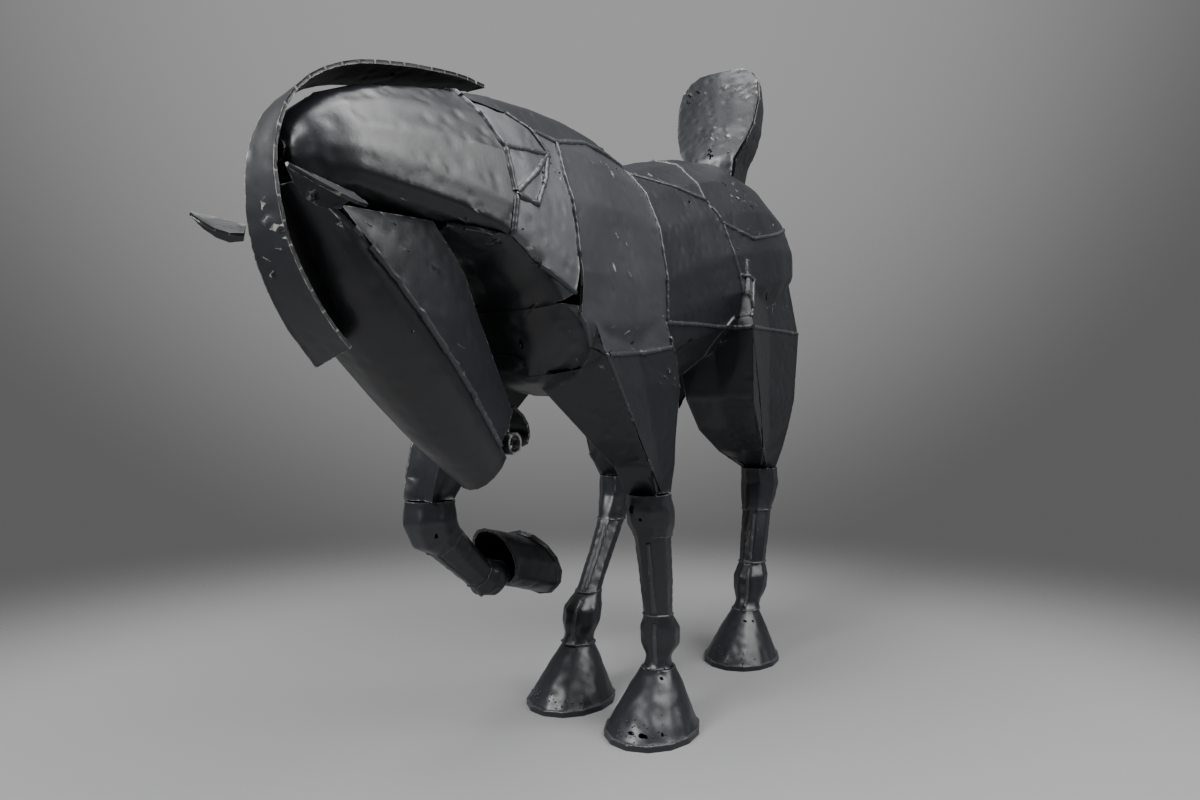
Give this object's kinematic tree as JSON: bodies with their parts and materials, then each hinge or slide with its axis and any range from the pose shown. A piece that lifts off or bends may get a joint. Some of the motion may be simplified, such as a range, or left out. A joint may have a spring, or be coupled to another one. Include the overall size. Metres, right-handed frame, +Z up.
{
  "type": "metal horse sculpture",
  "caption": "Standing horse sculpture of welded scrap sheet steel, hollow, head lowered between the forelegs, a foreleg raised, crest strip arched over the poll, satin black.",
  "frame": {"origin": "middle of the bounding box's base, on the ground under the barrel", "axes": "+Z up; the horse faces -Y, with its left side towards +X"},
  "size_m": [0.3296, 1.2064, 1.1503],
  "materials": {
    "black_steel": "satin black paint over hammered, welded steel plate, worn pale on beads and torch-cut edges"
  },
  "bodies": {
    "root": {"back_plate": "black_steel", "belly_plate": "black_steel", "croup_plate": "black_steel", "face_plate": "black_steel", "jaw_plate": "black_steel", "left_cheek_plate": "black_steel", "left_collar_lower_patch": "black_steel", "left_collar_sliver_patch": "black_steel", "left_collar_top_patch": "black_steel", "left_collar_triangle_patch": "black_steel", "left_ear": "black_steel", "left_flank_patch": "black_steel", "left_fore_cannon": "black_steel", "left_fore_fetlock": "black_steel", "left_fore_hoof": "black_steel", "left_fore_knee": "black_steel", "left_fore_sole_plate": "black_steel", "left_forearm_front_plate": "black_steel", "left_forearm_outer_plate": "black_steel", "left_hind_cannon": "black_steel", "left_hind_fetlock": "black_steel", "left_hind_hock": "black_steel", "left_hind_hoof": "black_steel", "left_hind_sole_plate": "black_steel", "left_hip_plate": "black_steel", "left_neck_plate": "black_steel", "left_nostril_pipe": "black_steel", "left_rib_plate": "black_steel", "left_shoulder_plate": "black_steel", "left_thigh_front_plate": "black_steel", "left_thigh_outer_plate": "black_steel", "lower_lip_plate": "black_steel", "mane_strip": "black_steel", "middle_chest_plate": "black_steel", "right_cheek_plate": "black_steel", "right_ear": "black_steel", "right_fore_cannon": "black_steel", "right_fore_fetlock": "black_steel", "right_fore_hoof": "black_steel", "right_fore_knee": "black_steel", "right_fore_sole_plate": "black_steel", "right_forearm_front_plate": "black_steel", "right_forearm_outer_plate": "black_steel", "right_hind_cannon": "black_steel", "right_hind_fetlock": "black_steel", "right_hind_hock": "black_steel", "right_hind_hoof": "black_steel", "right_hind_sole_plate": "black_steel", "right_hip_plate": "black_steel", "right_neck_plate": "black_steel", "right_nostril_pipe": "black_steel", "right_rib_plate": "black_steel", "right_shoulder_plate": "black_steel", "right_thigh_front_plate": "black_steel", "right_thigh_outer_plate": "black_steel", "tail_back_plate": "black_steel", "tail_front_plate": "black_steel", "throat_and_upper_chest_plate": "black_steel", "withers_plate": "black_steel"}
  },
  "joints": []
}
